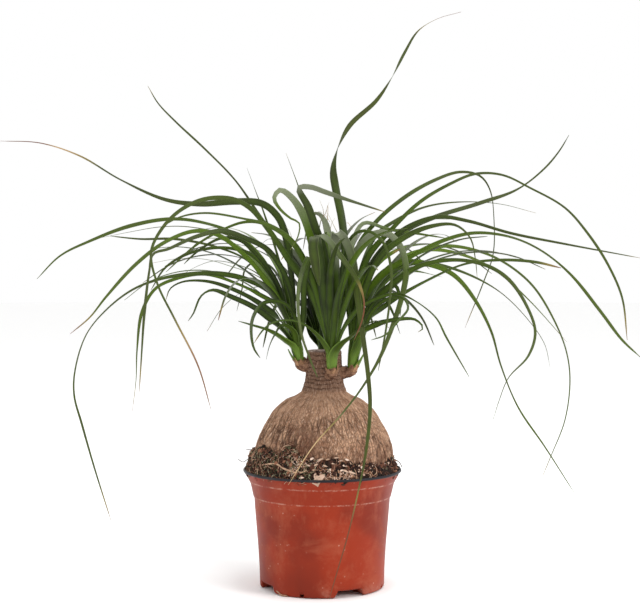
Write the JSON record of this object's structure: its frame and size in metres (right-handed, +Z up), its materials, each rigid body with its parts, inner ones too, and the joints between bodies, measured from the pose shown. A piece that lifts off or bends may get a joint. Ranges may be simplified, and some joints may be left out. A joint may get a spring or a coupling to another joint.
{
  "type": "potted ponytail palm",
  "caption": "Ponytail palm with a swollen woody stem and arching strap leaves, standing in a round tapered nursery pot.",
  "frame": {"origin": "middle of the pot's flat base, on the surface that it stands on", "axes": "+Z up along the pot's axis, -Y towards the viewer of the picture, +X to that viewer's right"},
  "size_m": [0.563, 0.3805, 0.5098],
  "materials": {
    "pot_plastic": "terracotta red thermoformed plastic with a black inside and lip, scuffed and dusty",
    "potting_soil": "dry dark peat with fibres, bark crumbs, perlite and a little moss",
    "bark": "corky tan bark with fine upright fissures, darker and ringed at the neck",
    "leaf_green": "satin green strap leaf with parallel veins, pale at the base, tan at the tip"
  },
  "bodies": {
    "root": {"pot": "pot_plastic", "soil": "potting_soil", "trunk": "bark", "head_left": "leaf_green", "head_centre": "leaf_green", "head_right": "leaf_green", "head_back": "leaf_green"}
  },
  "joints": []
}
